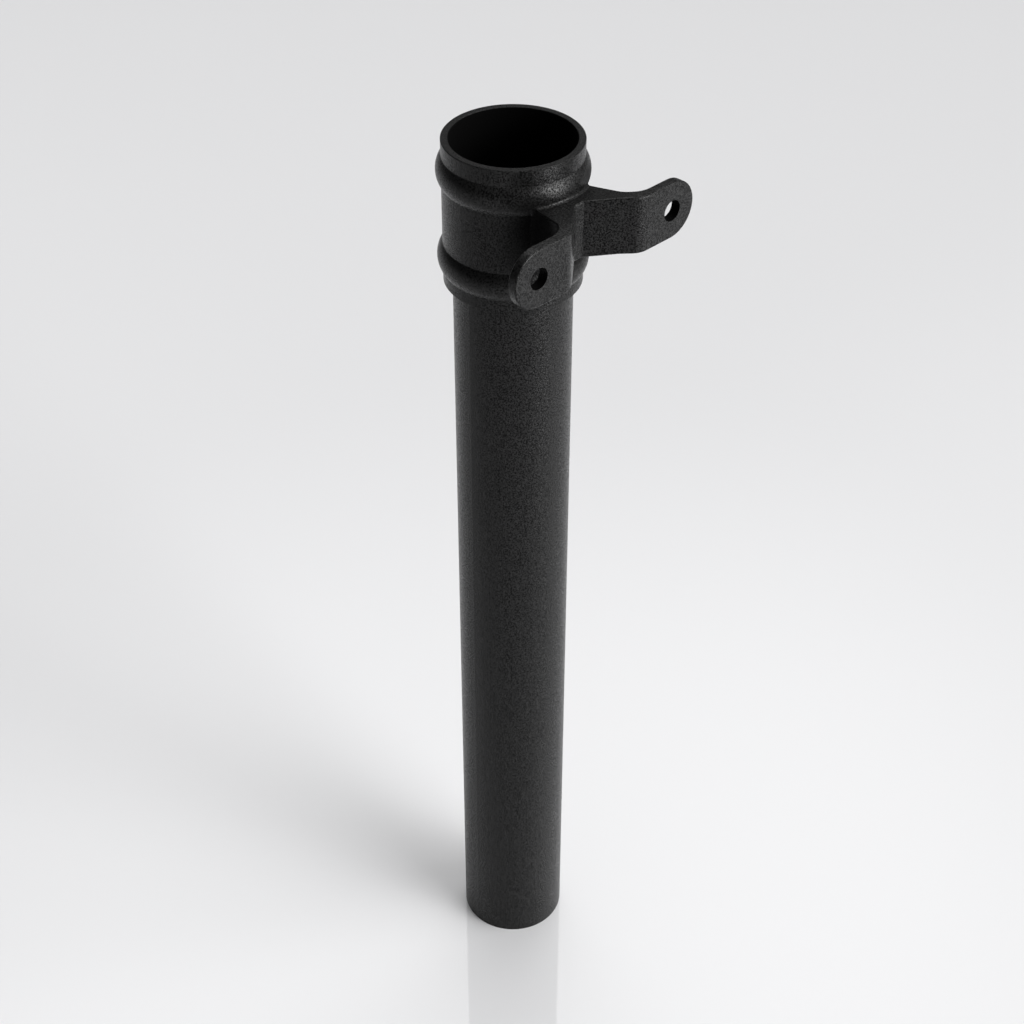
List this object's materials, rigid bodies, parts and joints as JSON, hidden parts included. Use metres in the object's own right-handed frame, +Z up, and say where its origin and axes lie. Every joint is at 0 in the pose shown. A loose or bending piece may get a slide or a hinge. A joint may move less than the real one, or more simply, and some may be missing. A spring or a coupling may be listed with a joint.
{
  "type": "aluminium downpipe",
  "caption": "Round rainwater downpipe with a beaded socket collar that carries a wall bracket with fixing ears, in textured black coating.",
  "frame": {"origin": "on the pipe's axis at the pipe's lower end", "axes": "+Z up the pipe towards the socket, +Y towards the wall that the ears are fixed to, +X along the wall"},
  "size_m": [0.1514, 0.1266, 0.679],
  "materials": {
    "coated_aluminium": "fine-textured satin black powder coat"
  },
  "bodies": {
    "root": {"pipe": "coated_aluminium", "eared_collar": "coated_aluminium"}
  },
  "joints": []
}
